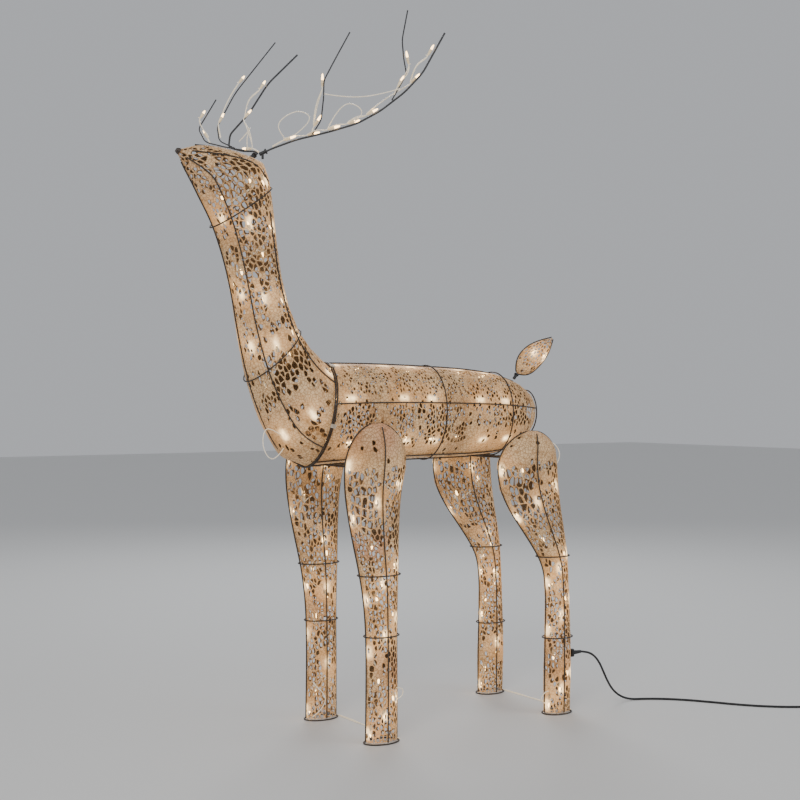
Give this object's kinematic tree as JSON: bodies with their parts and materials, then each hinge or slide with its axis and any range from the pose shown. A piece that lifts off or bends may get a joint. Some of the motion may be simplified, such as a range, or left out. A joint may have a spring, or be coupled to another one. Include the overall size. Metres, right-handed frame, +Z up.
{
  "type": "light-up yard reindeer",
  "caption": "Standing light-up reindeer: wire-frame pods skinned with open spun web, strung with small warm lamps, with plug-in wire antlers, tail and legs.",
  "frame": {"origin": "on the ground, below the middle of the deer without its supply lead", "axes": "+Z up, the deer faces -Y, its left side is +X"},
  "size_m": [0.7623, 1.4831, 1.52],
  "materials": {
    "web_skin": "cream spun thermoplastic thread, satin",
    "frame_wire": "dark powder coat",
    "antler_wire": "dark grey powder coat",
    "husk_plastic": "moulded, satin",
    "lamp_lens": "lit warm white lamp",
    "string_pvc": "white wire jacket",
    "lead_rubber": "black outdoor lead",
    "blade_brass": "plain",
    "clip_plastic": "moulded, natural",
    "socket_plastic": "moulded, dark grey",
    "nose_plastic": "moulded, dark brown"
  },
  "bodies": {
    "rear_legs": {"leg_skin_rear_left": "web_skin", "leg_frame_rear_left": "frame_wire", "leg_skin_rear_right": "web_skin", "leg_frame_rear_right": "frame_wire", "leg_rails_rear": "frame_wire", "foot_jumper_rear": "string_pvc", "lamp_husks_rear_legs": "husk_plastic", "lamp_lenses_rear_legs": "lamp_lens", "string_wire_rear_legs": "string_pvc", "lead_strain_relief": "lead_rubber", "lead_tube": "lead_rubber", "lead_coil": "lead_rubber", "plug_body": "lead_rubber", "plug_blades": "blade_brass"},
    "torso": {"torso_skin": "web_skin", "torso_frame": "frame_wire", "belly_bars": "frame_wire", "leg_clips": "clip_plastic", "neck_clips": "clip_plastic", "tail_socket": "socket_plastic", "lamp_husks_torso": "husk_plastic", "lamp_lenses_torso": "lamp_lens", "string_wire_torso": "string_pvc"},
    "front_legs": {"leg_skin_front_left": "web_skin", "leg_frame_front_left": "frame_wire", "leg_skin_front_right": "web_skin", "leg_frame_front_right": "frame_wire", "leg_rails_front": "frame_wire", "foot_jumper_front": "string_pvc", "lamp_husks_front_legs": "husk_plastic", "lamp_lenses_front_legs": "lamp_lens", "string_wire_front_legs": "string_pvc"},
    "neck_head": {"neck_head_skin": "web_skin", "neck_head_frame": "frame_wire", "nose": "nose_plastic", "antler_sockets": "socket_plastic", "lamp_husks_neck": "husk_plastic", "lamp_lenses_neck": "lamp_lens", "string_wire_neck": "string_pvc"},
    "tail": {"tail_stem": "frame_wire", "tail_skin": "web_skin", "tail_frame": "frame_wire", "lamp_husks_tail": "husk_plastic", "lamp_lenses_tail": "lamp_lens", "string_wire_tail": "string_pvc"},
    "antler_left": {"antler_frame_left": "antler_wire", "lamp_husks_antler_left": "husk_plastic", "lamp_lenses_antler_left": "lamp_lens", "string_wire_antler_left": "string_pvc"},
    "antler_right": {"antler_frame_right": "antler_wire", "lamp_husks_antler_right": "husk_plastic", "lamp_lenses_antler_right": "lamp_lens", "string_wire_antler_right": "string_pvc"}
  },
  "joints": [
    {"name": "torso_lift", "type": "slide", "parent": "rear_legs", "child": "torso", "axis": [0, 0, 1], "range_m": [0, 0.1]},
    {"name": "front_legs_release", "type": "slide", "parent": "torso", "child": "front_legs", "axis": [0, 0, -1], "range_m": [0, 0.1]},
    {"name": "neck_pull", "type": "slide", "parent": "torso", "child": "neck_head", "axis": [0, -0.9794, 0.2022], "range_m": [0, 0.1]},
    {"name": "tail_pull", "type": "slide", "parent": "torso", "child": "tail", "axis": [0, 0.6198, 0.7848], "range_m": [0, 0.04]},
    {"name": "antler_left_pull", "type": "slide", "parent": "neck_head", "child": "antler_left", "axis": [0.4197, 0.7995, 0.4297], "range_m": [0, 0.05]},
    {"name": "antler_right_pull", "type": "slide", "parent": "neck_head", "child": "antler_right", "axis": [-0.4197, 0.7995, 0.4297], "range_m": [0, 0.05]}
  ],
  "couplings": [
    {"joint": "front_legs_release", "follows": "torso_lift", "ratio": 1}
  ]
}
